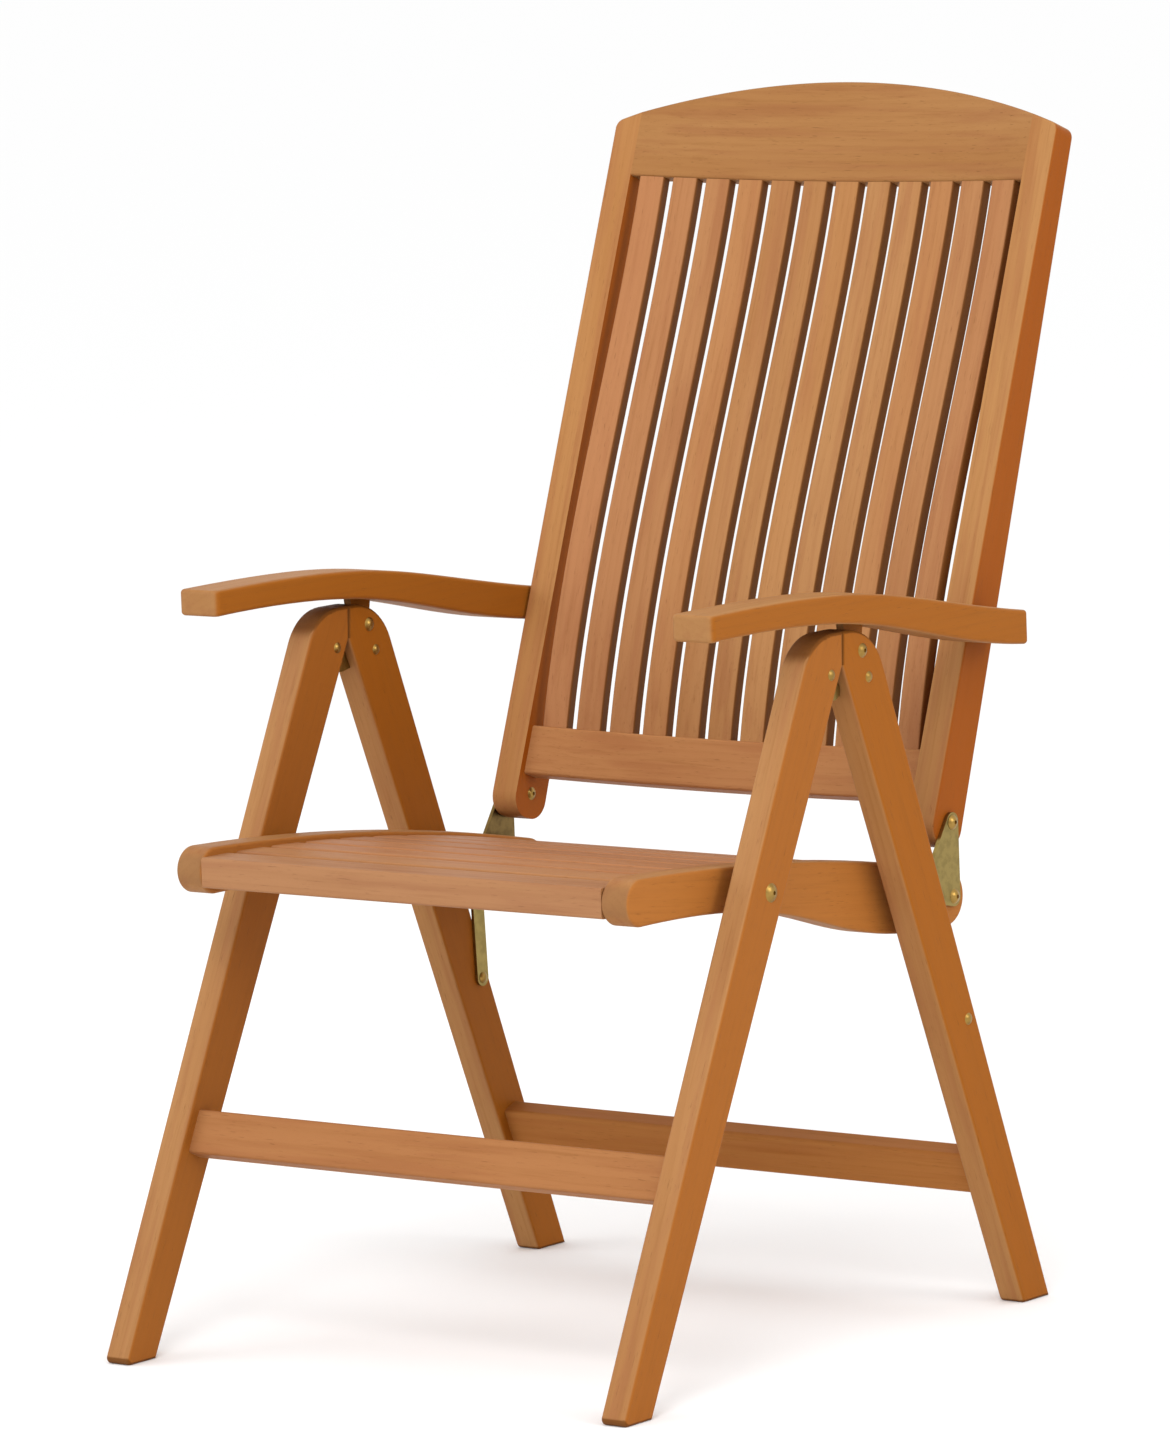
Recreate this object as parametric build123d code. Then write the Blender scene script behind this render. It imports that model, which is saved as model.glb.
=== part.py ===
from build123d import *
import os
from math import asin, atan2, cos, degrees, hypot, radians, sin, sqrt

# Teak high-back folding chair, in millimetres. X runs across the chair, the front faces -Y, +Z is up.
# Side shapes are drawn as (y, z) pairs, with y = 0 at the front foot and z = 0 on the floor.

# Clearances
pin_clearance = 0.05
running_gap = 0.3
kerf_clearance = 0.1
mortise_clearance = 0.05
blind_hole_spare = 0.5

# Legs
leg_outer_x = 294.0
leg_thickness = 27.0
foot_length = 42.0
rear_foot_y = 605.0
crotch_y = 358.3
crotch_z = 616.8
leg_depth_at_crotch = 59.0
butt_height = 30.0
front_leg_top_radius = 50.0
rear_leg_top_radius = 55.0
leg_edge_radius = 3.0
foot_ease = 5.0

# Leg hinge
hinge_drop = 22.5
hinge_eye_spare = 0.4
leaf_thickness = 3.0
leg_pin_radius = 3.0
front_rivet_ahead = 17.0
front_rivet_above = 16.0
rear_rivet_behind = 39.0
rear_rivet_above = 8.0
hinge_rivet_radius = 2.5
hinge_rivet_head_radius = 5.0
hinge_rivet_head_height = 2.2

# Stretchers
stretcher_width = 41.0
stretcher_thickness = 20.0
stretcher_setback = 10.6
front_stretcher_z = 202.5
rear_stretcher_z = 119.0
stretcher_edge_radius = 3.0

# Seat
side_gap = 12.5
rail_thickness = 29.0
rail_edge_radius = 3.0
seat_pivot_z = 431.0
seat_pivot_behind_edge = 31.0
nose_radius = 21.2
nose_ahead = 135.0
nose_above = 7.8
rail_bolt_behind = 327.5
rail_bolt_below = 52.0
rail_end_radius = 26.5
rail_end_lead = 7.0
seat_bow_radius = 2700.0
rail_belly_front_pull = 280.0
rail_belly_rear_pull = 199.0
seat_slat_count = 10
seat_slat_width = 40.0
seat_slat_thickness = 18.0
front_slat_thickness = 27.5
front_slat_setback = 1.5
slat_bow_radius = 2400.0
slat_front_drop = 7.5
slat_rear_drop = 3.0
rear_slat_spare = 2.0
seat_slat_edge_radius = 3.0
seat_bolt_radius = 4.0
seat_bolt_head_radius = 8.5
seat_bolt_head_height = 3.5
seat_bolt_bite = 18.0
bush_radius = 9.0

# Strap links
strap_pivot_z = 274.5
strap_pivot_inset = 13.0
strap_boss_ahead = 40.5
strap_boss_above = 9.0
strap_radius = 8.0
strap_thickness = 3.0
strap_pin_radius = 3.0
strap_head_radius = 5.5
strap_head_height = 2.5
boss_radius = 7.0
boss_bite = 12.0

# Back
recline_deg = 20.6
stile_thickness = 29.0
stile_depth_bottom = 47.0
stile_depth_top = 27.0
stile_toe_radius = 20.0
back_corner_length = 652.0
back_hollow = 13.5
crest_rise = 43.6
crest_shoulder = 53.5
crest_thickness = 20.0
crest_corner_radius = 10.0
back_edge_radius = 2.5
bottom_rail_from = 15.5
bottom_rail_to = 62.5
bottom_rail_setback = 6.5
bottom_rail_thickness = 20.0
back_slat_count = 12
back_slat_gap = 9.6
back_slat_thickness = 12.5
back_slat_edge_radius = 2.0
back_slat_foot_setback = 8.5
back_slat_waist_at = 190.0
back_slat_waist_setback = -3.5
back_slat_middle_at = 335.0
back_slat_middle_setback = -2.5
back_slat_head_setback = 1.0

# Plates that carry the back on the seat
plate_rise = 68.0
plate_radius = 9.0
plate_thickness = 3.5
plate_bolt_radius = 4.0
plate_bolt_head_radius = 7.0
plate_bolt_head_height = 3.5
plate_bolt_bite = 22.0
back_bolt_nut_radius = 6.0
back_bolt_nut_height = 2.5

# Armrests
arm_width = 45.0
arm_side_gap = 1.8
arm_pivot_behind_crotch = 29.7
arm_pivot_below_top = 20.0
arm_over_leg = 3.0
arm_front_reach = 230.0
arm_front_rise = 10.0
arm_crown_reach = 130.0
arm_crown_rise = 10.5
arm_depth_front = 24.0
arm_depth_pivot = 27.5
arm_depth_bend = 32.5
arm_depth_rear = 31.0
arm_bend_reach = 120.0
arm_bend_drop = 25.0
arm_pin_below_leg_top = 28.0
arm_pin_setback = 15.5
arm_end_margin = 14.0
arm_corner_radius = 6.5
arm_edge_radius = 3.5
arm_pin_radius = 3.5
arm_pin_bite = 12.0
arm_pin_reach = 8.0
arm_pocket_ahead = 6.2
arm_pocket_above = 2.4
arm_pocket_spare = 1.2
tongue_thickness = 8.0
tongue_radius = 10.5
tongue_head_half = 14.5
tongue_slot_spare = 1.0
mortise_depth = 14.0
arm_bolt_radius = 4.0
arm_bolt_head_radius = 6.5
arm_bolt_head_height = 3.0
bolt_socket_radius = 1.8
bolt_socket_depth = 1.5


# Helpers for the side shapes
def unit(y, z):
    length = hypot(y, z)
    return (y / length, z / length)


def along(start, direction, distance):
    return (start[0] + direction[0] * distance, start[1] + direction[1] * distance)


def line_at(start, end, z):
    """The y of the straight line through two points at a height."""
    share = (z - start[1]) / (end[1] - start[1])
    return start[0] + (end[0] - start[0]) * share


def side_slab(face, x_from, x_to):
    """A side shape carried straight across from one x to another."""
    return Pos(x_from, 0, 0) * extrude(Plane.YZ * face, amount=x_to - x_from)


def polygon(*points):
    return make_face(Polyline(*points, close=True))


def disc(centre, radius):
    return Pos(*centre) * Circle(radius)


def link_face(start, end, radius):
    """A bar with two round ends."""
    length = hypot(end[0] - start[0], end[1] - start[1])
    angle = degrees(atan2(end[1] - start[1], end[0] - start[0]))
    middle = ((start[0] + end[0]) / 2, (start[1] + end[1]) / 2)
    return Pos(*middle) * Rot(0, 0, angle) * SlotCenterToCenter(length, 2 * radius)


def round_corner(face, corner, radius):
    nearest = face.vertices().sort_by_distance(Vector(*corner))[0]
    return fillet(nearest, radius)


def ease_sides(solid, radius):
    """Rounds the edges around the two faces that look along X."""
    edges = solid.faces().sort_by(Axis.X)[0].edges() + solid.faces().sort_by(Axis.X)[-1].edges()
    return fillet(edges, radius)


def rod(centre, radius, x_from, x_to):
    return side_slab(disc(centre, radius), x_from, x_to)


def dome(centre, radius, height, x_face, way):
    """A domed bolt head that stands on the plane at x_face and looks along +X or -X."""
    ball_radius = (radius ** 2 + height ** 2) / (2 * height)
    half_sweep = asin(radius / ball_radius) / 2
    crown = (height - ball_radius + ball_radius * cos(half_sweep), ball_radius * sin(half_sweep))
    profile = make_face(
        [
            Line((0, 0), (0, radius)),
            ThreePointArc((0, radius), crown, (height, 0)),
            Line((height, 0), (0, 0)),
        ]
    )
    head = revolve(profile, Axis.X)
    if way < 0:
        head = other_side(head)
    return Pos(x_face, *centre) * head


def socket(centre, radius, depth, x_top, way):
    x_deep = x_top - way * depth
    return rod(centre, radius, min(x_deep, x_top), max(x_deep, x_top))


def blind_hole(centre, pin_radius, pin_end_x, mouth_x):
    return rod(centre, pin_radius + pin_clearance, pin_end_x - blind_hole_spare, mouth_x)


def other_side(solid):
    return mirror(solid, about=Plane.YZ)


# Planes across the chair, for the right-hand side
leg_inner_x = leg_outer_x - leg_thickness
leg_middle_x = leg_outer_x - leg_thickness / 2
rail_outer_x = leg_inner_x - side_gap
rail_inner_x = rail_outer_x - rail_thickness
stile_outer_x = rail_outer_x - running_gap
stile_inner_x = stile_outer_x - stile_thickness
arm_inner_x = stile_outer_x + arm_side_gap
arm_outer_x = arm_inner_x + arm_width
strap_outer_x = leg_inner_x - running_gap
strap_inner_x = strap_outer_x - strap_thickness
plate_outer_x = rail_outer_x + plate_thickness

# Leg edges and the leg hinge
crotch = (crotch_y, crotch_z)
leg_top_z = crotch_z + butt_height
front_toe = (0.0, 0.0)
front_heel = (foot_length, 0.0)
rear_toe = (rear_foot_y, 0.0)
rear_heel = (rear_foot_y + foot_length, 0.0)
front_edge_point = (crotch_y - leg_depth_at_crotch, crotch_z)
rear_edge_point = (crotch_y + leg_depth_at_crotch, crotch_z)
front_run = unit(crotch[0] - front_heel[0], crotch[1] - front_heel[1])
rear_run = unit(crotch[0] - rear_toe[0], crotch[1] - rear_toe[1])
butt_run = unit(front_run[0] + rear_run[0], front_run[1] + rear_run[1])
crotch_half_angle = asin((front_run[0] * rear_run[1] - front_run[1] * rear_run[0])) / 2
leg_pivot = along(crotch, butt_run, -hinge_drop)
hinge_eye_radius = hinge_drop * sin(crotch_half_angle) - hinge_eye_spare
butt_top = along(crotch, butt_run, butt_height / butt_run[1])

# Pivots of the seat, the straps, the back and the arms
seat_pivot = (line_at(front_toe, front_edge_point, seat_pivot_z) + seat_pivot_behind_edge, seat_pivot_z)
strap_pivot = (line_at(rear_heel, rear_edge_point, strap_pivot_z) - strap_pivot_inset, strap_pivot_z)
rail_bolt = (seat_pivot[0] + rail_bolt_behind, seat_pivot[1] - rail_bolt_below)
strap_boss = (rail_bolt[0] - strap_boss_ahead, rail_bolt[1] + strap_boss_above)
back_pivot = (rail_bolt[0], rail_bolt[1] + plate_rise)
back_up = (sin(radians(recline_deg)), cos(radians(recline_deg)))
back_rear = (back_up[1], -back_up[0])
back_origin = along(back_pivot, back_rear, -stile_depth_bottom / 2)
arm_pivot = (crotch_y + arm_pivot_behind_crotch, leg_top_z - arm_pivot_below_top)


def back_point(height, setback):
    """A point at a height up the back, measured behind the plane of the stiles' front faces."""
    return along(along(back_origin, back_up, height), back_rear, setback)


arm_pin_z = leg_top_z - arm_pin_below_leg_top
arm_pin_along = (arm_pin_z - back_origin[1] - arm_pin_setback * back_rear[1]) / back_up[1]
arm_pin = back_point(arm_pin_along, arm_pin_setback)

pieces = {}


def both_sides(name, solid):
    pieces[name + "_r"] = solid
    pieces[name + "_l"] = other_side(solid)


def pair(name, solid):
    """Two equal fasteners, one on each side, kept as one group of separate solids."""
    pieces[name] = Compound(children=[*solid.solids(), *other_side(solid).solids()])


# Front and rear legs
half_butt = running_gap / 2
front_top = (line_at(front_toe, front_edge_point, leg_top_z), leg_top_z)
rear_top = (line_at(rear_heel, rear_edge_point, leg_top_z), leg_top_z)
front_leg_face = polygon(
    front_toe,
    front_heel,
    (crotch[0] - half_butt, crotch[1]),
    (butt_top[0] - half_butt, butt_top[1]),
    front_top,
)
front_leg_face = round_corner(front_leg_face, front_top, front_leg_top_radius)
front_leg_face = round_corner(front_leg_face, front_toe, foot_ease)
rear_leg_face = polygon(
    rear_toe,
    rear_heel,
    rear_top,
    (butt_top[0] + half_butt, butt_top[1]),
    (crotch[0] + half_butt, crotch[1]),
)
rear_leg_face = round_corner(rear_leg_face, rear_top, rear_leg_top_radius)
rear_leg_face = round_corner(rear_leg_face, rear_toe, foot_ease)
front_leg = ease_sides(side_slab(front_leg_face, leg_inner_x, leg_outer_x), leg_edge_radius)
rear_leg = ease_sides(side_slab(rear_leg_face, leg_inner_x, leg_outer_x), leg_edge_radius)

# Leg hinge: two leaves side by side in kerfs, one pin through both eyes, one rivet through each leg
front_rivet = (leg_pivot[0] - front_rivet_ahead, leg_pivot[1] + front_rivet_above)
rear_rivet = (leg_pivot[0] + rear_rivet_behind, leg_pivot[1] + rear_rivet_above)
leaf_half_gap = running_gap / 2


def hinge_leaf(rivet_at, x_from):
    face = link_face(leg_pivot, rivet_at, hinge_eye_radius)
    leaf = side_slab(face, x_from, x_from + leaf_thickness)
    leaf -= rod(leg_pivot, leg_pin_radius + pin_clearance, leg_inner_x, leg_outer_x)
    return leaf - rod(rivet_at, hinge_rivet_radius + pin_clearance, leg_inner_x, leg_outer_x)


def hinge_kerf(rivet_at, x_from):
    face = link_face(leg_pivot, rivet_at, hinge_eye_radius + kerf_clearance)
    return side_slab(face, x_from - kerf_clearance, x_from + leaf_thickness + kerf_clearance)


def through_rivet(rivet_at):
    rivet = rod(rivet_at, hinge_rivet_radius, leg_inner_x, leg_outer_x)
    rivet += dome(rivet_at, hinge_rivet_head_radius, hinge_rivet_head_height, leg_outer_x, 1)
    return rivet + dome(rivet_at, hinge_rivet_head_radius, hinge_rivet_head_height, leg_inner_x, -1)


front_leaf_x = leg_middle_x + leaf_half_gap
rear_leaf_x = leg_middle_x - leaf_half_gap - leaf_thickness
front_leg -= hinge_kerf(front_rivet, front_leaf_x)
front_leg -= rod(front_rivet, hinge_rivet_radius + pin_clearance, leg_inner_x, leg_outer_x)
rear_leg -= hinge_kerf(rear_rivet, rear_leaf_x)
rear_leg -= rod(rear_rivet, hinge_rivet_radius + pin_clearance, leg_inner_x, leg_outer_x)
leg_pin_from = rear_leaf_x - running_gap
leg_pin_to = front_leaf_x + leaf_thickness + running_gap

# Arm pivot: a fork slot in the rear leg's top, open to the top and to the rear
slot_radius = tongue_radius + tongue_slot_spare
slot_mouth_half = tongue_head_half + tongue_slot_spare
slot_rear_y = rear_heel[0]
fork_face = disc(arm_pivot, slot_radius)
fork_face += polygon(
    (arm_pivot[0] - slot_radius, arm_pivot[1]),
    (arm_pivot[0] - slot_mouth_half, leg_top_z),
    (arm_pivot[0] - slot_mouth_half, leg_top_z + slot_radius),
    (slot_rear_y, leg_top_z + slot_radius),
    (slot_rear_y, arm_pivot[1] - slot_radius),
    (arm_pivot[0], arm_pivot[1] - slot_radius),
)
slot_half = tongue_thickness / 2 + running_gap
rear_leg -= side_slab(fork_face, leg_middle_x - slot_half, leg_middle_x + slot_half)
rear_leg -= rod(arm_pivot, arm_bolt_radius + pin_clearance, leg_inner_x, leg_outer_x)
rear_leg -= rod(strap_pivot, strap_pin_radius + pin_clearance, leg_inner_x, leg_outer_x)
front_leg -= rod(seat_pivot, seat_bolt_radius + pin_clearance, leg_inner_x, leg_outer_x)
both_sides("front_leg", front_leg)
both_sides("rear_leg", rear_leg)
pair("front_hinge_leaves", hinge_leaf(front_rivet, front_leaf_x))
pair("rear_hinge_leaves", hinge_leaf(rear_rivet, rear_leaf_x))
pair("front_hinge_rivets", through_rivet(front_rivet))
pair("rear_hinge_rivets", through_rivet(rear_rivet))
pair("leg_hinge_pins", rod(leg_pivot, leg_pin_radius, leg_pin_from, leg_pin_to))

arm_bolt = rod(arm_pivot, arm_bolt_radius, leg_inner_x, leg_outer_x)
arm_bolt += dome(arm_pivot, arm_bolt_head_radius, arm_bolt_head_height, leg_outer_x, 1)
arm_bolt += dome(arm_pivot, arm_bolt_head_radius, arm_bolt_head_height, leg_inner_x, -1)
arm_bolt -= socket(arm_pivot, bolt_socket_radius, bolt_socket_depth, leg_outer_x + arm_bolt_head_height, 1)
pair("arm_pivot_bolts", arm_bolt)


# Stretchers, laid along the slope of the legs between the two sides
def stretcher(edge_from, edge_to, middle_z):
    run = unit(edge_to[0] - edge_from[0], edge_to[1] - edge_from[1])
    inward = (run[1], -run[0])
    middle = along((line_at(edge_from, edge_to, middle_z), middle_z), inward, stretcher_setback)
    low = along(middle, run, -stretcher_width / 2)
    high = along(middle, run, stretcher_width / 2)
    face = polygon(
        low,
        high,
        along(high, inward, stretcher_thickness),
        along(low, inward, stretcher_thickness),
    )
    bar = side_slab(face, -leg_inner_x, leg_inner_x)
    return fillet(bar.edges().filter_by(Axis.X), stretcher_edge_radius)


pieces["front_stretcher"] = stretcher(front_toe, front_edge_point, front_stretcher_z)
pieces["rear_stretcher"] = stretcher(rear_toe, crotch, rear_stretcher_z)

# Seat rails: round nose, bowed top, hollowed underside, round rear end
nose = (seat_pivot[0] - nose_ahead, seat_pivot[1] + nose_above)
rail_end = (rail_bolt[0] - rail_end_lead, rail_bolt[1])
seat_slope = unit(rail_end[0] - nose[0], rail_end[1] - nose[1])
seat_normal = (-seat_slope[1], seat_slope[0])
nose_reach = seat_bow_radius - nose_radius
rail_end_reach = seat_bow_radius - rail_end_radius
end_distance = hypot(rail_end[0] - nose[0], rail_end[1] - nose[1])
bow_foot = (nose_reach ** 2 - rail_end_reach ** 2 + end_distance ** 2) / (2 * end_distance)
bow_depth = sqrt(nose_reach ** 2 - bow_foot ** 2)
bow_centre = along(along(nose, seat_slope, bow_foot), seat_normal, -bow_depth)
nose_run = unit(nose[0] - bow_centre[0], nose[1] - bow_centre[1])
top_front = along(bow_centre, nose_run, seat_bow_radius)
rail_end_run = unit(rail_end[0] - bow_centre[0], rail_end[1] - bow_centre[1])
top_rear = along(bow_centre, rail_end_run, seat_bow_radius)
top_middle = along(bow_centre, seat_normal, seat_bow_radius)
belly_front = (nose[0], nose[1] - nose_radius)
belly_rear = (rail_end[0], rail_end[1] - rail_end_radius)
rail_face = make_face(
    [
        ThreePointArc(top_front, top_middle, top_rear),
        ThreePointArc(top_rear, (rail_end[0] + rail_end_radius, rail_end[1]), belly_rear),
        Bezier(
            belly_rear,
            (belly_rear[0] - rail_belly_rear_pull, belly_rear[1]),
            (belly_front[0] + rail_belly_front_pull, belly_front[1]),
            belly_front,
        ),
        ThreePointArc(belly_front, (nose[0] - nose_radius, nose[1]), top_front),
    ]
)
seat_rail = ease_sides(side_slab(rail_face, rail_inner_x, rail_outer_x), rail_edge_radius)
seat_bolt_inner_x = rail_outer_x - seat_bolt_bite
plate_bolt_inner_x = rail_outer_x - plate_bolt_bite
boss_inner_x = rail_outer_x - boss_bite
seat_rail -= blind_hole(seat_pivot, seat_bolt_radius, seat_bolt_inner_x, rail_outer_x)
seat_rail -= blind_hole(rail_bolt, plate_bolt_radius, plate_bolt_inner_x, rail_outer_x)
seat_rail -= blind_hole(strap_boss, strap_pin_radius, boss_inner_x, rail_outer_x)
both_sides("seat_rail", seat_rail)

# Seat slats, on a bow of their own below the top of the rails
slat_from = along(top_front, nose_run, -slat_front_drop)
slat_to = along(top_rear, rail_end_run, -slat_rear_drop)
slat_slope = unit(slat_to[0] - slat_from[0], slat_to[1] - slat_from[1])
half_span = hypot(slat_to[0] - slat_from[0], slat_to[1] - slat_from[1]) / 2
slat_bow_depth = sqrt(slat_bow_radius ** 2 - half_span ** 2)
slat_centre = along(along(slat_from, slat_slope, half_span), (slat_slope[1], -slat_slope[0]), slat_bow_depth)


def bow_angle(y):
    """Angle on the slats' bow, clockwise from straight up, at which it passes a y."""
    return asin((y - slat_centre[0]) / slat_bow_radius)


first_slat_angle = bow_angle(nose[0] - nose_radius + front_slat_setback + seat_slat_width / 2)
last_slat_angle = bow_angle(rail_end[0] + rear_slat_spare - seat_slat_width / 2)
for index in range(seat_slat_count):
    share = index / (seat_slat_count - 1)
    angle = first_slat_angle + (last_slat_angle - first_slat_angle) * share
    thickness = front_slat_thickness if index == 0 else seat_slat_thickness
    middle_radius = slat_bow_radius - thickness / 2
    middle = along(slat_centre, (sin(angle), cos(angle)), middle_radius)
    slat_face = Pos(*middle) * Rot(0, 0, -degrees(angle)) * Rectangle(seat_slat_width, thickness)
    slat = side_slab(slat_face, -rail_inner_x, rail_inner_x)
    slat = fillet(slat.edges().filter_by(Axis.X), seat_slat_edge_radius)
    pieces[f"seat_slat_{index + 1:02d}"] = slat

# Seat pivot bolts and the bushes between leg and rail
seat_bolt = rod(seat_pivot, seat_bolt_radius, seat_bolt_inner_x, leg_outer_x)
seat_bolt += dome(seat_pivot, seat_bolt_head_radius, seat_bolt_head_height, leg_outer_x, 1)
seat_bolt -= socket(seat_pivot, bolt_socket_radius, bolt_socket_depth, leg_outer_x + seat_bolt_head_height, 1)
pair("seat_pivot_bolts", seat_bolt)
bush = rod(seat_pivot, bush_radius, rail_outer_x + running_gap, leg_inner_x)
pair("seat_pivot_bushes", bush - rod(seat_pivot, seat_bolt_radius + pin_clearance, rail_outer_x, leg_inner_x))

# Plates on the rails' outer faces, with the back's pivot bolts through their upper eyes
plate_face = polygon(rail_bolt, back_pivot, strap_boss)
plate_face += link_face(rail_bolt, back_pivot, plate_radius)
plate_face += link_face(back_pivot, strap_boss, plate_radius)
plate_face += link_face(strap_boss, rail_bolt, plate_radius)
plate = side_slab(plate_face, rail_outer_x, plate_outer_x)
plate -= rod(rail_bolt, plate_bolt_radius + pin_clearance, rail_outer_x, plate_outer_x)
plate -= rod(back_pivot, plate_bolt_radius + pin_clearance, rail_outer_x, plate_outer_x)
plate -= rod(strap_boss, strap_pin_radius + pin_clearance, rail_outer_x, plate_outer_x)
both_sides("back_plate", plate)


def plate_bolt(centre, x_end, x_head):
    bolt = rod(centre, plate_bolt_radius, x_end, x_head)
    bolt += dome(centre, plate_bolt_head_radius, plate_bolt_head_height, x_head, 1)
    return bolt - socket(centre, bolt_socket_radius, bolt_socket_depth, x_head + plate_bolt_head_height, 1)


pair("plate_rail_bolts", plate_bolt(rail_bolt, plate_bolt_inner_x, plate_outer_x))
back_bolt = plate_bolt(back_pivot, stile_inner_x, plate_outer_x + running_gap)
back_bolt += dome(back_pivot, back_bolt_nut_radius, back_bolt_nut_height, stile_inner_x, -1)
nut_top_x = stile_inner_x - back_bolt_nut_height
pair("back_pivot_bolts", back_bolt - socket(back_pivot, bolt_socket_radius, bolt_socket_depth, nut_top_x, -1))

# Strap links from the rear legs to the seat; their upper ends lie against bosses on the rails
strap = side_slab(link_face(strap_pivot, strap_boss, strap_radius), strap_inner_x, strap_outer_x)
strap -= rod(strap_pivot, strap_pin_radius + pin_clearance, strap_inner_x, strap_outer_x)
strap -= rod(strap_boss, strap_pin_radius + pin_clearance, strap_inner_x, strap_outer_x)
both_sides("strap", strap)
strap_rivet_inner_x = strap_inner_x - running_gap
strap_rivet = rod(strap_pivot, strap_pin_radius, strap_rivet_inner_x, leg_outer_x)
strap_rivet += dome(strap_pivot, strap_head_radius, strap_head_height, leg_outer_x, 1)
strap_rivet += dome(strap_pivot, strap_head_radius, strap_head_height, strap_rivet_inner_x, -1)
pair("strap_lower_rivets", strap_rivet)
both_sides("strap_cap", rod(strap_boss, strap_pin_radius, strap_inner_x, strap_outer_x))
boss = rod(strap_boss, boss_radius, plate_outer_x, strap_inner_x - running_gap)
boss += rod(strap_boss, strap_pin_radius, boss_inner_x, plate_outer_x)
pair("strap_bosses", boss)

# Back stiles, tapering towards the top, with round lower ends about the back's pivot
arm_pin_inner_x = stile_outer_x - arm_pin_bite
crest_half_width = stile_outer_x
crest_radius = (crest_half_width ** 2 + crest_rise ** 2) / (2 * crest_rise)
crest_top = back_corner_length + crest_rise
crest_lower_edge = back_corner_length - crest_shoulder
back_plane = Plane(
    origin=(0, *back_origin),
    x_dir=(1, 0, 0),
    z_dir=(0, -back_rear[0], -back_rear[1]),
)
stile_toe_front = back_point(-stile_depth_bottom / 2, 0)
stile_toe_rear = back_point(-stile_depth_bottom / 2, stile_depth_bottom)
stile_face = polygon(
    back_point(crest_top, 0),
    stile_toe_front,
    stile_toe_rear,
    back_point(crest_top, stile_depth_top),
)
stile_face = round_corner(stile_face, stile_toe_front, stile_toe_radius)
stile_face = round_corner(stile_face, stile_toe_rear, stile_toe_radius)


def back_front_slab(face, setback, thickness):
    """A front shape of the back, given as (x, height) pairs, carried rearward from a setback."""
    moved = back_plane.offset(-setback) * face
    return extrude(moved, amount=-thickness)


# The crest's bow runs over the crest rail and both stiles' tops
corner_left = (-crest_half_width, back_corner_length)
corner_right = (crest_half_width, back_corner_length)
bow_face = make_face(
    [
        ThreePointArc(corner_left, (0, crest_top), corner_right),
        Polyline(
            corner_right,
            (crest_half_width, -stile_depth_bottom),
            (-crest_half_width, -stile_depth_bottom),
            corner_left,
        ),
    ]
)
bow_face = round_corner(bow_face, corner_left, crest_corner_radius)
bow_face = round_corner(bow_face, corner_right, crest_corner_radius)
bow_slab = back_front_slab(bow_face, -stile_depth_bottom, 3 * stile_depth_bottom)
stile = side_slab(stile_face, stile_inner_x, stile_outer_x) & bow_slab
inner_edges = stile.faces().sort_by(Axis.X)[0].edges()
stile = fillet(stile.edges() - inner_edges, back_edge_radius)
stile -= rod(back_pivot, plate_bolt_radius + pin_clearance, stile_inner_x, stile_outer_x)
stile -= blind_hole(arm_pin, arm_pin_radius, arm_pin_inner_x, stile_outer_x)
both_sides("back_stile", stile)

# Crest rail and bottom rail between the stiles, hollowed across so that the back wraps round the sitter
plan_plane = Plane(origin=(0, *back_origin), x_dir=(1, 0, 0), z_dir=(0, *back_up))


def hollow_arc(setback, way):
    end_x = way * stile_inner_x
    return ThreePointArc((-end_x, setback), (0, setback + back_hollow), (end_x, setback))


def hollow_rail(low, high, setback, thickness):
    rear = setback + thickness
    plan = make_face(
        [
            hollow_arc(setback, 1),
            Line((stile_inner_x, setback), (stile_inner_x, rear)),
            hollow_arc(rear, -1),
            Line((-stile_inner_x, rear), (-stile_inner_x, setback)),
        ]
    )
    return extrude(plan_plane.offset(low) * plan, amount=high - low)


def ease_long_edges(solid, radius):
    return fillet(solid.edges().sort_by(SortBy.LENGTH)[-4:], radius)


crest = hollow_rail(crest_lower_edge, crest_top + crest_rise, 0, crest_thickness) & bow_slab
pieces["crest_rail"] = ease_long_edges(crest, back_edge_radius)
bottom_rail = hollow_rail(bottom_rail_from, bottom_rail_to, bottom_rail_setback, bottom_rail_thickness)
pieces["bottom_rail"] = ease_long_edges(bottom_rail, back_edge_radius)

# Back slats, bowed forward at the sitter's waist and set around the axis of the hollow
slat_stations = [
    (bottom_rail_to, back_slat_foot_setback),
    (back_slat_waist_at, back_slat_waist_setback),
    (back_slat_middle_at, back_slat_middle_setback),
    (crest_lower_edge, back_slat_head_setback),
]
slat_front = [back_point(height, setback + back_hollow) for height, setback in slat_stations]
slat_rear = [along(point, back_rear, back_slat_thickness) for point in slat_front]
slat_face = make_face(
    [
        Spline(*slat_front),
        Line(slat_front[-1], slat_rear[-1]),
        Spline(*reversed(slat_rear)),
        Line(slat_rear[0], slat_front[0]),
    ]
)
hollow_radius = (stile_inner_x ** 2 + back_hollow ** 2) / (2 * back_hollow)
hollow_axis = Axis((0, *back_point(0, back_hollow - hollow_radius)), (0, *back_up))
hollow_length = 2 * hollow_radius * asin(stile_inner_x / hollow_radius)
back_slat_pitch = (hollow_length - back_slat_gap) / back_slat_count
back_slat_width = back_slat_pitch - back_slat_gap
middle_slat = side_slab(slat_face, -back_slat_width / 2, back_slat_width / 2)
middle_slat = ease_long_edges(middle_slat, back_slat_edge_radius)
for index in range(back_slat_count):
    turn = ((back_slat_count - 1) / 2 - index) * back_slat_pitch / hollow_radius
    pieces[f"back_slat_{index + 1:02d}"] = middle_slat.rotate(hollow_axis, degrees(turn))

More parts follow.
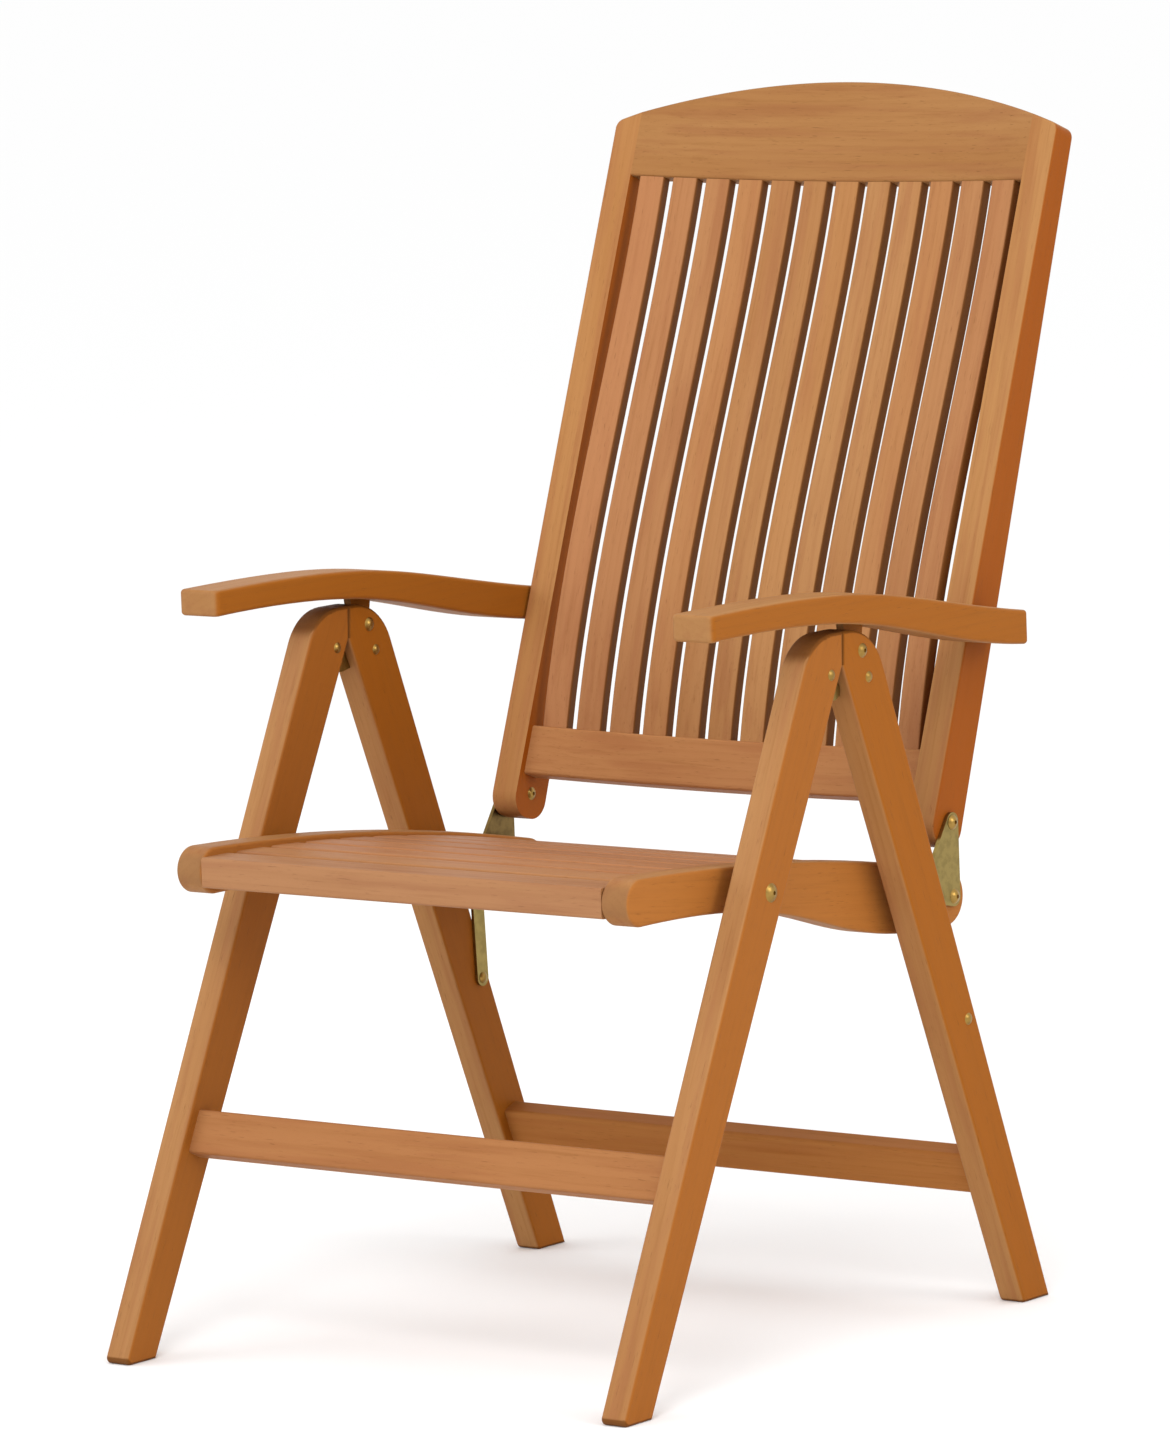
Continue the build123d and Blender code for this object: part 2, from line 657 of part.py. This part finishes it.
# Armrests, crowned ahead of the pivot and falling to the stiles
arm_under_z = leg_top_z + arm_over_leg
arm_rear_y = arm_pin[0] + arm_end_margin
arm_rear_under = arm_pin[1] - arm_depth_rear / 2
arm_under = [
    (arm_pivot[0] - arm_front_reach, arm_under_z + arm_front_rise),
    (arm_pivot[0] - arm_crown_reach, arm_under_z + arm_crown_rise),
    (arm_pivot[0], arm_under_z),
    (arm_pivot[0] + arm_bend_reach, arm_under_z - arm_bend_drop),
    (arm_rear_y, arm_rear_under),
]
arm_depths = [arm_depth_front, arm_depth_front, arm_depth_pivot, arm_depth_bend, arm_depth_rear]
arm_over = [(point[0], point[1] + depth) for point, depth in zip(arm_under, arm_depths)]
arm_face = make_face(
    [
        Spline(*arm_over),
        Line(arm_over[-1], arm_under[-1]),
        Spline(*reversed(arm_under)),
        Line(arm_under[0], arm_over[0]),
    ]
)
armrest = side_slab(arm_face, arm_inner_x, arm_outer_x)
armrest = fillet(armrest.edges().filter_by(Axis.Z), arm_corner_radius)
top_and_underside = armrest.faces().sort_by(SortBy.AREA)[-2:]
armrest = fillet(top_and_underside.edges(), arm_edge_radius)


def tongue_face(spare):
    """A round eye about the arm's pivot, flaring up to a head in the armrest."""
    radius = tongue_radius + spare
    head_half = tongue_head_half + spare
    head_top_z = arm_under_z + mortise_depth + spare
    flare = polygon(
        (arm_pivot[0] - radius, arm_pivot[1]),
        (arm_pivot[0] + radius, arm_pivot[1]),
        (arm_pivot[0] + head_half, arm_under_z),
        (arm_pivot[0] + head_half, head_top_z),
        (arm_pivot[0] - head_half, head_top_z),
        (arm_pivot[0] - head_half, arm_under_z),
    )
    return disc(arm_pivot, radius) + flare


tongue_from = leg_middle_x - tongue_thickness / 2
tongue_to = leg_middle_x + tongue_thickness / 2
tongue = side_slab(tongue_face(0), tongue_from, tongue_to)
tongue -= rod(arm_pivot, arm_bolt_radius + pin_clearance, tongue_from, tongue_to)
mortise_face = tongue_face(mortise_clearance)
armrest -= side_slab(mortise_face, tongue_from - mortise_clearance, tongue_to + mortise_clearance)
pocket_end = (arm_pin[0] - arm_pocket_ahead, arm_pin[1] + arm_pocket_above)
pocket_face = link_face(arm_pin, pocket_end, arm_pin_radius + arm_pocket_spare)
pocket_to = arm_inner_x + arm_pin_reach + blind_hole_spare
armrest -= side_slab(pocket_face, arm_inner_x, pocket_to)
both_sides("armrest", armrest)
both_sides("arm_tongue", tongue)
pair("arm_pins", rod(arm_pin, arm_pin_radius, arm_pin_inner_x, arm_inner_x + arm_pin_reach))

# The shared frame: origin under the middle of the chair, on the floor
boxes = [solid.bounding_box() for solid in pieces.values()]
front_y = min(box.min.Y for box in boxes)
rear_y = max(box.max.Y for box in boxes)
floor_z = min(box.min.Z for box in boxes)
shift_y = -(front_y + rear_y) / 2
shift = Pos(0, shift_y, -floor_z)

os.makedirs("parts", exist_ok=True)
for name, solid in pieces.items():
    export_step(shift * solid, f"parts/{name}.step")

# Pivot places in the shared frame, as (y, z)
pivots = {
    "leg": leg_pivot,
    "seat": seat_pivot,
    "strap": strap_pivot,
    "strap boss": strap_boss,
    "back": back_pivot,
    "arm": arm_pivot,
    "arm pin": arm_pin,
}
for name, place in pivots.items():
    print(name, round(place[0] + shift_y, 3), round(place[1] - floor_z, 3))
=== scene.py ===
from math import cos, radians, sin

import bpy
from mathutils import Matrix, Vector

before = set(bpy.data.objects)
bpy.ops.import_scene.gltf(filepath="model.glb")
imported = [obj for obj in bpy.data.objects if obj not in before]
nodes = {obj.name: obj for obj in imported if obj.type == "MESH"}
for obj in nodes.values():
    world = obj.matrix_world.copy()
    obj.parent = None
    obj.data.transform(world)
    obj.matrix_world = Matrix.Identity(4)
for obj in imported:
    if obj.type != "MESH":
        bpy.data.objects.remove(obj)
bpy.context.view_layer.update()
scene = bpy.context.scene

# Camera, in metres and degrees
CAMERA_PLACE = Vector((4.6122, -5.99621, 1.5257))
CAMERA_AZIMUTH = 37.794
CAMERA_ELEVATION = 7.381
CAMERA_ROLL = -2.187
FOCAL_PIXELS = 8396.0
IMAGE_WIDTH = 1170.0
SENSOR_WIDTH = 36.0

# Directions that the grain runs in
ACROSS = Vector((1.0, 0.0, 0.0))
DEPTHWISE = Vector((0.0, 1.0, 0.0))
FRONT_LEG_RUN = Vector((0.0, 0.456, 0.890))
REAR_LEG_RUN = Vector((0.0, -0.371, 0.928))
SEAT_RAIL_RUN = Vector((0.0, 0.992, -0.127))
BACK_RUN = Vector((0.0, 0.352, 0.936))
UPRIGHT = Vector((0.0, 0.0, 1.0))

# Teak colours, linear
TEAK_LIGHT = (0.365, 0.178, 0.062)
TEAK_MIDDLE = (0.315, 0.140, 0.043)
TEAK_DARK = (0.175, 0.062, 0.012)
TEAK_ROSY = (0.335, 0.136, 0.055)
# Faces that look sideways: warmer edge grain, darkened with painted shade
TEAK_SIDE_GRAIN_AND_SHADE = (0.280, 0.084, 0.006)
TEAK_STILE_SIDE_AND_SHADE = (0.240, 0.054, 0.001)
TEAK_RAIL_SIDE_AND_SHADE = (0.335, 0.114, 0.018)
TEAK_REAR_LEG_SIDE_AND_SHADE = (0.270, 0.078, 0.004)
TEAK_FLAME = (0.265, 0.096, 0.036)
# Painted shade on the back slats' sides in the gaps between them
TEAK_SLAT_GAP_PAINTED_SHADE = (0.130, 0.042, 0.006)
TEAK_END = (0.290, 0.145, 0.055)
# End grain on the leg tops, darkened deep as painted shade under the arms
TEAK_LEG_END_AND_SHADE = (0.115, 0.034, 0.002)
TEAK_END_BROWN = (0.200, 0.100, 0.042)
PORE = (0.075, 0.025, 0.006)

# Looks of the wooden pieces by the start of their names: rosiness, tone and saturation
WOOD_LOOKS = {
    # The crest rail's lower tone is painted shade, set against the extra light that its backward tilt
    # catches
    "crest_rail": (0.10, 0.89, 1.00),
    "bottom_rail": (0.55, 1.14, 1.00),
    "back_stile": (0.08, 1.08, 1.00),
    "back_slat": (0.45, 1.07, 0.98),
    "seat_slat_01": (0.60, 0.96, 0.94),
    "seat_slat": (0.45, 1.09, 0.97),
    "seat_rail": (0.15, 0.99, 0.99),
    "front_stretcher": (0.70, 0.95, 1.02),
    "rear_stretcher": (0.65, 0.97, 1.08),
    "front_leg": (0.12, 1.03, 0.985),
    "rear_leg": (0.12, 1.00, 1.00),
    "armrest": (0.12, 1.00, 1.00),
    "arm_tongue": (0.12, 0.90, 1.00),
}
# Colours of the faces that look sideways, where they differ from the common side colour: warmer edge
# grain darkened by painted shade, and on the back slats painted shade in the gaps between them
SIDE_GRAIN_AND_SHADE_COLOURS = {
    # Back slats: painted shade in the gaps between them
    "back_slat": TEAK_SLAT_GAP_PAINTED_SHADE,
    "back_stile": TEAK_STILE_SIDE_AND_SHADE,
    "seat_rail": TEAK_RAIL_SIDE_AND_SHADE,
    "rear_leg": TEAK_REAR_LEG_SIDE_AND_SHADE,
}
# End grain, which on the leg tops is also painted shade under the arms: its colour, the normals' shares
# along the grain where it starts and is full, and its strength
END_GRAIN_AND_SHADE_LOOKS = {
    # Legs: end grain on their rounded tops, deepened as painted shade under the arms
    "front_leg": (TEAK_LEG_END_AND_SHADE, 0.03, 0.32, 0.80),
    "rear_leg": (TEAK_LEG_END_AND_SHADE, 0.03, 0.32, 0.80),
    "seat_rail": (TEAK_END_BROWN, 0.62, 0.92, 0.45),
}
PLAIN_END = (TEAK_END, 0.62, 0.92, 0.45)

# Differences between boards
SLAT_ROSY_SPREAD = 0.35
TONE_SPREAD = 0.04
ROSY_STEP = 12.9898
TONE_STEP = 4.1414
SWING_STEP = 2.399
HEART_STEP = 1.7
HEART_DISTANCE = 0.11
HEART_SPREAD = 0.05
GRAIN_SHIFT = 0.731

# Stretch of the layers in the wood, along the grain and across it
RING_STRETCH = (0.05, 1.0, 1.0)
CLOUD_STRETCH = (1.6, 14.0, 14.0)
FLAME_STRETCH = (5.0, 75.0, 75.0)
STREAK_STRETCH = (9.0, 330.0, 330.0)
FIBRE_STRETCH = (45.0, 1500.0, 1500.0)
PORE_STRETCH = (70.0, 1250.0, 1250.0)

# Growth rings
RING_SCALE = 42.0
RING_DISTORTION = 5.0
RING_DETAIL = 2.0
RING_DETAIL_SCALE = 0.5

# Strength of the layers in the wood, and its gloss and relief
FLAME_SHARE = 0.42
# Share of the sideways colour: edge grain with painted shade
SIDE_GRAIN_AND_SHADE_SHARE = 0.94
RING_SHARE = 0.08
STREAK_SHARE = 0.30
PORE_SHARE = 0.40
FIBRE_RELIEF = 0.6
WOOD_ROUGHNESS = 0.40
WOOD_ROUGHNESS_SPREAD = 0.22
WOOD_SPECULAR = 0.06
WOOD_BUMP = 0.35
WOOD_BUMP_HEIGHT = 0.0004

# Brass: linear colours, the share of patina on them, gloss and relief
BOLT_BRASS = (0.33, 0.20, 0.052)
BOLT_WEAR = 0.4
PLATE_BRASS = (0.29, 0.21, 0.064)
PLATE_WEAR = 0.35
# A darker brown copy of the plate brass: painted shade and a painted reflection of the wood beside it
BRASS_PAINTED_SHADE = (0.17, 0.105, 0.032)
SHADED_COPY_PATINA_SHARE = 0.5
PATINA_DARKENING = (0.45, 0.43, 0.38)
SCRATCH_STRETCH = (900.0, 2400.0, 160.0)
PATINA_SCALE = 120.0
BRASS_ROUGHNESS = 0.20
BRASS_ROUGHNESS_SPREAD = 0.30
BRASS_BUMP = 0.2
BRASS_BUMP_HEIGHT = 0.0002

# Stage: floor, sky and lights with their place, target, size and power
FLOOR_SIZE = 160.0
FLOOR_GREY = 0.86
FLOOR_ROUGHNESS = 0.9
SKY_STRENGTH = 1.15
LIGHTS = {
    "key": ((1.6, -3.2, 3.4), (0.0, 0.0, 0.55), 2.0, 75.0),
    "side": ((3.6, 0.2, 2.0), (0.0, 0.0, 0.6), 1.8, 34.0),
    "fill": ((-3.0, -2.4, 1.8), (0.0, 0.0, 0.5), 2.4, 26.0),
}
CLIP_END = 100.0


def node(tree, kind, **settings):
    made = tree.nodes.new(kind)
    for name, value in settings.items():
        setattr(made, name, value)
    return made


def math_node(tree, operation, first, second):
    made = node(tree, "ShaderNodeMath", operation=operation)
    for socket, value in zip(made.inputs, (first, second)):
        if isinstance(value, (int, float)):
            socket.default_value = value
        else:
            tree.links.new(value, socket)
    return made.outputs[0]


def mix_colour(tree, share, first, second):
    made = node(tree, "ShaderNodeMix", data_type="RGBA")
    made.clamp_factor = True
    sockets = [made.inputs[0], made.inputs[6], made.inputs[7]]
    for socket, value in zip(sockets, (share, first, second)):
        if isinstance(value, tuple):
            socket.default_value = (*value, 1.0)
        elif isinstance(value, (int, float)):
            socket.default_value = value
        else:
            tree.links.new(value, socket)
    return made.outputs[2]


def ramp(tree, source, low, high):
    """0 below low, 1 above high, smooth between."""
    made = node(tree, "ShaderNodeMapRange", interpolation_type="SMOOTHSTEP")
    tree.links.new(source, made.inputs["Value"])
    made.inputs["From Min"].default_value = low
    made.inputs["From Max"].default_value = high
    return made.outputs["Result"]


def noise(tree, vector, scale, detail, roughness=0.55):
    made = node(tree, "ShaderNodeTexNoise", noise_dimensions="3D")
    tree.links.new(vector, made.inputs["Vector"])
    made.inputs["Scale"].default_value = scale
    made.inputs["Detail"].default_value = detail
    made.inputs["Roughness"].default_value = roughness
    return made.outputs[0]


def stretched(tree, vector, scale):
    made = node(tree, "ShaderNodeMapping", vector_type="POINT")
    tree.links.new(vector, made.inputs["Vector"])
    made.inputs["Scale"].default_value = scale
    return made.outputs[0]


def layer(tree, base, mask, strength, colour):
    """The base with a colour laid over it where the mask is 1, at a given strength."""
    return mix_colour(tree, math_node(tree, "MULTIPLY", mask, strength), base, colour)


def gain_and_offset(tree, source, gain, offset):
    made = math_node(tree, "MULTIPLY_ADD", source, gain)
    made.node.inputs[2].default_value = offset
    return made


def relief_of(tree, shader, height, strength, distance):
    bump = node(tree, "ShaderNodeBump")
    bump.inputs["Strength"].default_value = strength
    bump.inputs["Distance"].default_value = distance
    tree.links.new(height, bump.inputs["Height"])
    tree.links.new(bump.outputs[0], shader.inputs["Normal"])


def grain_turn(run):
    """The turn that lays a grain direction along X, with the piece's other two directions after it."""
    along = run.normalized()
    helper = ACROSS if abs(along.x) < 0.5 else UPRIGHT
    beside = along.cross(helper).normalized()
    over = along.cross(beside).normalized()
    return Matrix((along, beside, over)).to_euler("XYZ")


def teak(name, run, seed, rosy, tone, saturation, side_grain_and_shade_colour, end_grain_shade_look):
    """Oiled teak: rings about a heart outside the piece, flames, streaks, pores and end grain, with
    painted shade on the sideways faces, in the back slats' gaps and on the leg tops.
    """
    material = bpy.data.materials.new(name)
    material.use_nodes = True
    tree = material.node_tree
    shader = tree.nodes["Principled BSDF"]
    coordinates = node(tree, "ShaderNodeTexCoord")
    place = node(tree, "ShaderNodeMapping", vector_type="POINT")
    tree.links.new(coordinates.outputs["Object"], place.inputs["Vector"])
    place.inputs["Rotation"].default_value = grain_turn(run)
    swing = seed * SWING_STEP
    heart = HEART_DISTANCE + HEART_SPREAD * sin(seed * HEART_STEP)
    shift = (seed * GRAIN_SHIFT, heart * cos(swing), heart * sin(swing))
    place.inputs["Location"].default_value = shift
    grain = place.outputs[0]

    rings = node(tree, "ShaderNodeTexWave", wave_type="RINGS", rings_direction="X", wave_profile="SAW")
    tree.links.new(stretched(tree, grain, RING_STRETCH), rings.inputs["Vector"])
    rings.inputs["Scale"].default_value = RING_SCALE
    rings.inputs["Distortion"].default_value = RING_DISTORTION
    rings.inputs["Detail"].default_value = RING_DETAIL
    rings.inputs["Detail Scale"].default_value = RING_DETAIL_SCALE
    ring = rings.outputs["Fac"]
    cloud = noise(tree, stretched(tree, grain, CLOUD_STRETCH), 1.0, 2.0)
    flame = noise(tree, stretched(tree, grain, FLAME_STRETCH), 1.0, 3.0)
    streak = noise(tree, stretched(tree, grain, STREAK_STRETCH), 1.0, 4.0, 0.65)
    fibre = noise(tree, stretched(tree, grain, FIBRE_STRETCH), 1.0, 2.0)
    pores = noise(tree, stretched(tree, grain, PORE_STRETCH), 1.0, 1.0)

    normal = node(tree, "ShaderNodeVectorMath", operation="DOT_PRODUCT")
    tree.links.new(coordinates.outputs["Normal"], normal.inputs[0])
    normal.inputs[1].default_value = run.normalized()
    end_grain_shade_colour, end_low, end_high, end_strength = end_grain_shade_look
    along_grain = math_node(tree, "ABSOLUTE", normal.outputs["Value"], 0.0)
    end_grain_shade_mask = ramp(tree, along_grain, end_low, end_high)
    # Mask of the faces that look sideways, which get warmer edge grain and painted shade
    split = node(tree, "ShaderNodeSeparateXYZ")
    tree.links.new(coordinates.outputs["Normal"], split.inputs[0])
    sideways = math_node(tree, "ABSOLUTE", split.outputs["X"], 0.0)
    sideways_grain_shade_mask = ramp(tree, sideways, 0.35, 0.95)

    base = mix_colour(tree, ramp(tree, cloud, 0.32, 0.68), TEAK_MIDDLE, TEAK_LIGHT)
    base = mix_colour(tree, rosy, base, TEAK_ROSY)
    base = layer(tree, base, ramp(tree, flame, 0.44, 0.68), FLAME_SHARE, TEAK_FLAME)
    # Sideways faces: warmer edge grain with painted shade laid over it
    base = layer(tree, base, sideways_grain_shade_mask, SIDE_GRAIN_AND_SHADE_SHARE, side_grain_and_shade_colour)
    base = layer(tree, base, ramp(tree, ring, 0.35, 1.0), RING_SHARE, TEAK_DARK)
    base = layer(tree, base, ramp(tree, streak, 0.50, 0.80), STREAK_SHARE, TEAK_DARK)
    # End grain, which on the leg tops is painted shade under the arms as well
    base = layer(tree, base, end_grain_shade_mask, end_strength, end_grain_shade_colour)
    pore_share = math_node(tree, "MULTIPLY", ramp(tree, pores, 0.66, 0.78), PORE_SHARE)
    base = mix_colour(tree, pore_share, base, PORE)
    lift = node(tree, "ShaderNodeHueSaturation")
    lift.inputs["Value"].default_value = tone
    lift.inputs["Saturation"].default_value = saturation
    tree.links.new(base, lift.inputs["Color"])
    tree.links.new(lift.outputs[0], shader.inputs["Base Color"])

    rough = gain_and_offset(tree, streak, WOOD_ROUGHNESS_SPREAD, WOOD_ROUGHNESS)
    tree.links.new(rough, shader.inputs["Roughness"])
    shader.inputs["Specular IOR Level"].default_value = WOOD_SPECULAR

    fibre_height = math_node(tree, "MULTIPLY", fibre, FIBRE_RELIEF)
    height = math_node(tree, "SUBTRACT", fibre_height, pore_share)
    relief_of(tree, shader, height, WOOD_BUMP, WOOD_BUMP_HEIGHT)
    return material


def brass(name, tint, wear):
    """Aged brass with a cloudy patina and fine scratches."""
    material = bpy.data.materials.new(name)
    material.use_nodes = True
    tree = material.node_tree
    shader = tree.nodes["Principled BSDF"]
    coordinates = node(tree, "ShaderNodeTexCoord")
    place = coordinates.outputs["Object"]
    cloud = noise(tree, place, PATINA_SCALE, 4.0)
    scratch = noise(tree, stretched(tree, place, SCRATCH_STRETCH), 1.0, 2.0)
    dull = tuple(part * share for part, share in zip(tint, PATINA_DARKENING))
    patina = math_node(tree, "MULTIPLY", ramp(tree, cloud, 0.40, 0.66), wear)
    tree.links.new(mix_colour(tree, patina, tint, dull), shader.inputs["Base Color"])
    shader.inputs["Metallic"].default_value = 1.0
    rough = gain_and_offset(tree, cloud, BRASS_ROUGHNESS_SPREAD, BRASS_ROUGHNESS)
    tree.links.new(rough, shader.inputs["Roughness"])
    relief_of(tree, shader, scratch, BRASS_BUMP, BRASS_BUMP_HEIGHT)
    return material


def dress(name, material):
    mesh = nodes[name].data
    mesh.materials.clear()
    mesh.materials.append(material)


def grain_of(name):
    """The direction that a wooden piece's grain runs in."""
    if name.startswith(("seat_slat", "front_stretcher", "rear_stretcher", "crest", "bottom_rail")):
        return ACROSS
    if name.startswith("front_leg"):
        return FRONT_LEG_RUN
    if name.startswith("rear_leg"):
        return REAR_LEG_RUN
    if name.startswith("seat_rail"):
        return SEAT_RAIL_RUN
    if name.startswith(("back_slat", "back_stile")):
        return BACK_RUN
    if name.startswith("armrest"):
        return DEPTHWISE
    return UPRIGHT


# Materials of the pieces
BRASS_WORDS = ("leaves", "rivets", "pins", "bolts", "bushes", "plate_", "strap", "bosses")
wood_names = []
brass_names = []
for name in sorted(nodes):
    if any(word in name for word in BRASS_WORDS):
        brass_names.append(name)
    else:
        wood_names.append(name)

for index, name in enumerate(wood_names):
    seed = index + 1.0
    look = next(start for start in WOOD_LOOKS if name.startswith(start))
    rosy, tone, saturation = WOOD_LOOKS[look]
    if "slat" in name:
        rosy += SLAT_ROSY_SPREAD * sin(seed * ROSY_STEP)
    tone *= 1.0 + TONE_SPREAD * sin(seed * TONE_STEP)
    side_grain_and_shade_colour = SIDE_GRAIN_AND_SHADE_COLOURS.get(look, TEAK_SIDE_GRAIN_AND_SHADE)
    end_grain_shade_look = END_GRAIN_AND_SHADE_LOOKS.get(look, PLAIN_END)
    wood = teak("teak_" + name, grain_of(name), seed, rosy, tone, saturation, side_grain_and_shade_colour, end_grain_shade_look)
    dress(name, wood)

bolt_brass = brass("brass_bolts", BOLT_BRASS, BOLT_WEAR)
plate_brass = brass("brass_plates", PLATE_BRASS, PLATE_WEAR)
for name in brass_names:
    is_head = any(word in name for word in ("rivets", "bolts", "pins"))
    dress(name, bolt_brass if is_head else plate_brass)
# The left back plate gets the darker copy of the plate brass, as painted shade and painted reflection of
# the wood
dress("back_plate_l", brass("brass_painted_shade_copy", BRASS_PAINTED_SHADE, SHADED_COPY_PATINA_SHARE))

# Floor
bpy.ops.mesh.primitive_plane_add(size=FLOOR_SIZE, location=(0.0, 0.0, 0.0))
floor = bpy.context.object
floor.name = "floor"
floor_paint = bpy.data.materials.new("floor_paint")
floor_paint.use_nodes = True
floor_shader = floor_paint.node_tree.nodes["Principled BSDF"]
floor_shader.inputs["Base Color"].default_value = (FLOOR_GREY, FLOOR_GREY, FLOOR_GREY, 1.0)
floor_shader.inputs["Roughness"].default_value = FLOOR_ROUGHNESS
floor_shader.inputs["Specular IOR Level"].default_value = 0.0
floor.data.materials.append(floor_paint)

# Light
world = bpy.data.worlds.new("studio")
scene.world = world
world.use_nodes = True
sky = world.node_tree.nodes["Background"]
sky.inputs["Color"].default_value = (1.0, 1.0, 1.0, 1.0)
sky.inputs["Strength"].default_value = SKY_STRENGTH


def soft_light(name, place, target, size, power):
    data = bpy.data.lights.new(name, "AREA")
    data.shape = "DISK"
    data.size = size
    data.energy = power
    light = bpy.data.objects.new(name, data)
    scene.collection.objects.link(light)
    light.location = place
    aim = Vector(target) - Vector(place)
    light.rotation_euler = aim.to_track_quat("-Z", "Y").to_euler()


for light_name, (place, target, size, power) in LIGHTS.items():
    soft_light(light_name, place, target, size, power)

# Camera
azimuth = radians(CAMERA_AZIMUTH)
elevation = radians(CAMERA_ELEVATION)
roll = radians(CAMERA_ROLL)
back = Vector((sin(azimuth) * cos(elevation), -cos(azimuth) * cos(elevation), sin(elevation)))
level = (-back).cross(UPRIGHT).normalized()
upward = level.cross(-back).normalized()
right = level * cos(roll) + upward * sin(roll)
up = upward * cos(roll) - level * sin(roll)
camera_data = bpy.data.cameras.new("camera")
camera_data.sensor_fit = "HORIZONTAL"
camera_data.sensor_width = SENSOR_WIDTH
camera_data.lens = FOCAL_PIXELS * SENSOR_WIDTH / IMAGE_WIDTH
camera_data.clip_end = CLIP_END
camera = bpy.data.objects.new("camera", camera_data)
scene.collection.objects.link(camera)
turn = Matrix((right, up, back)).transposed().to_4x4()
camera.matrix_world = Matrix.Translation(CAMERA_PLACE) @ turn
scene.camera = camera
scene.view_settings.view_transform = "Standard"
